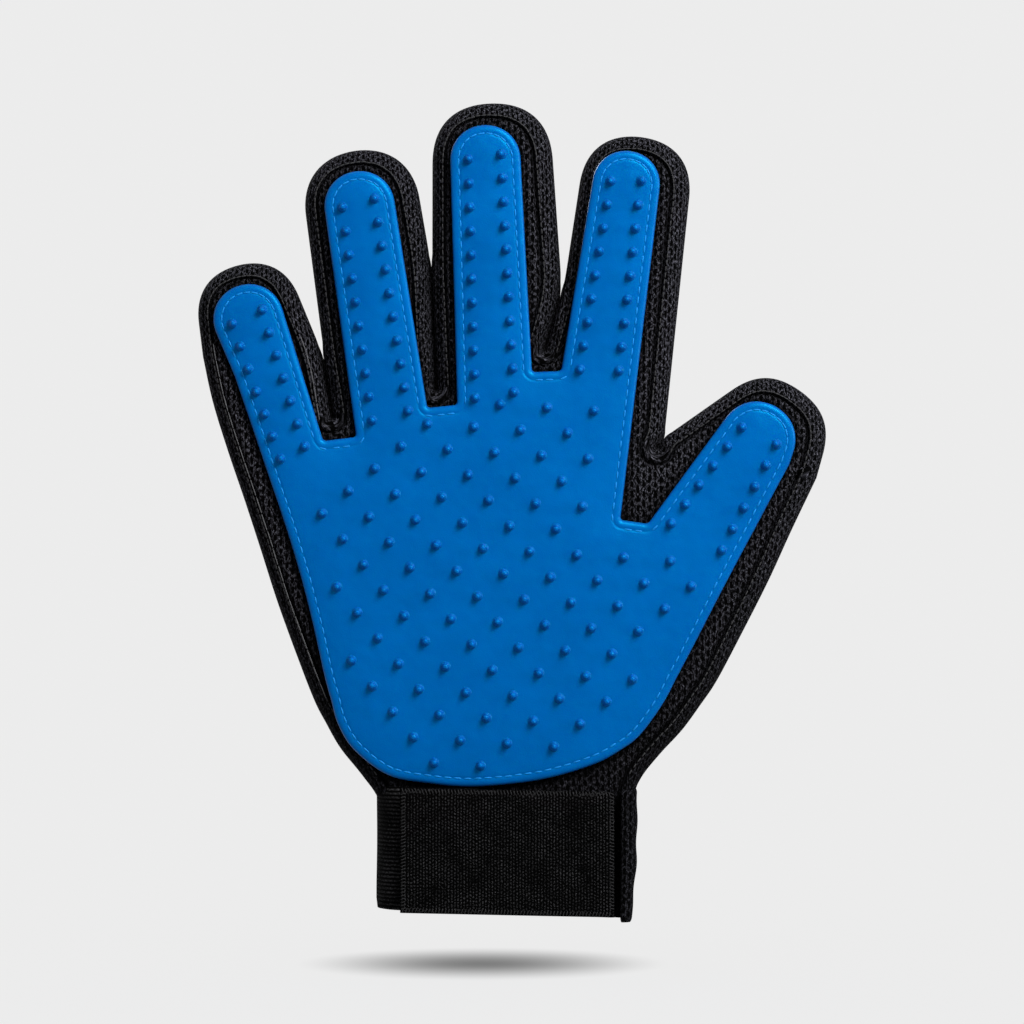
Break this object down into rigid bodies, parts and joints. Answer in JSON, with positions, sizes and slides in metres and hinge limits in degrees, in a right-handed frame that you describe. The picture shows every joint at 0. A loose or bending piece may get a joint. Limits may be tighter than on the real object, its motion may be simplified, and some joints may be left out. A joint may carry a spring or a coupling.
{
  "type": "pet grooming glove",
  "caption": "Five-finger right-hand grooming glove: blue silicone palm pad with soft moulded tips on black spacer mesh, with an elastic wrist and hook-and-loop tab",
  "frame": {"origin": "centre of the wrist opening, in the plane of the cuff's lower edge", "axes": "+Z from the wrist to the fingertips, +X towards the thumb, -Y the way the palm pad faces, +Y the back of the hand"},
  "size_m": [0.1817, 0.0311, 0.2365],
  "materials": {
    "silicone": "satin silicone, blue",
    "mesh_fabric": "black polyester spacer mesh with long open cells",
    "elastic": "black ribbed elastic webbing",
    "tab_webbing": "black knitted webbing, fine raised columns",
    "binding": "black woven binding tape",
    "hook_tape": "black nylon hook tape",
    "loop_tape": "black brushed loop tape"
  },
  "bodies": {
    "hand": {"palm_pad": "silicone", "palm_mesh_panel": "mesh_fabric", "back_mesh_panel": "mesh_fabric", "wrist_elastic": "elastic", "cuff_hem_binding": "binding", "strap_loop_tape": "loop_tape", "strap_anchor_fold": "mesh_fabric"},
    "little": {"little_pad": "silicone", "little_palm_mesh": "mesh_fabric", "little_back_mesh": "mesh_fabric"},
    "ring": {"ring_pad": "silicone", "ring_palm_mesh": "mesh_fabric", "ring_back_mesh": "mesh_fabric"},
    "middle": {"middle_pad": "silicone", "middle_palm_mesh": "mesh_fabric", "middle_back_mesh": "mesh_fabric"},
    "index": {"index_pad": "silicone", "index_palm_mesh": "mesh_fabric", "index_back_mesh": "mesh_fabric"},
    "thumb": {"thumb_pad": "silicone", "thumb_palm_mesh": "mesh_fabric", "thumb_back_mesh": "mesh_fabric"},
    "tab": {"strap_tab": "tab_webbing", "strap_hook_tape": "hook_tape"}
  },
  "joints": [
    {"name": "little_flex", "type": "hinge", "parent": "hand", "child": "little", "pos_m": [-0.06642, -0.011, 0.15322], "axis": [0.9426, 0, 0.3338], "range_deg": [-10, 75], "stiffness_Nm_per_rad": 0.06},
    {"name": "ring_flex", "type": "hinge", "parent": "hand", "child": "ring", "pos_m": [-0.03486, -0.011, 0.16863], "axis": [0.986, 0, 0.1668], "range_deg": [-10, 75], "stiffness_Nm_per_rad": 0.06},
    {"name": "middle_flex", "type": "hinge", "parent": "hand", "child": "middle", "pos_m": [-0.00198, -0.011, 0.17905], "axis": [0.9987, 0, 0.0506], "range_deg": [-10, 75], "stiffness_Nm_per_rad": 0.06},
    {"name": "index_flex", "type": "hinge", "parent": "hand", "child": "index", "pos_m": [0.03295, -0.011, 0.17668], "axis": [0.9919, 0, -0.1271], "range_deg": [-10, 75], "stiffness_Nm_per_rad": 0.06},
    {"name": "thumb_flex", "type": "hinge", "parent": "hand", "child": "thumb", "pos_m": [0.06933, -0.011, 0.13043], "axis": [0.8387, 0, -0.5446], "range_deg": [-10, 60], "stiffness_Nm_per_rad": 0.06},
    {"name": "strap_peel", "type": "hinge", "parent": "hand", "child": "tab", "pos_m": [0.032, -0.0166, 0.0188], "axis": [0, 0, 1], "range_deg": [0, 110]}
  ]
}
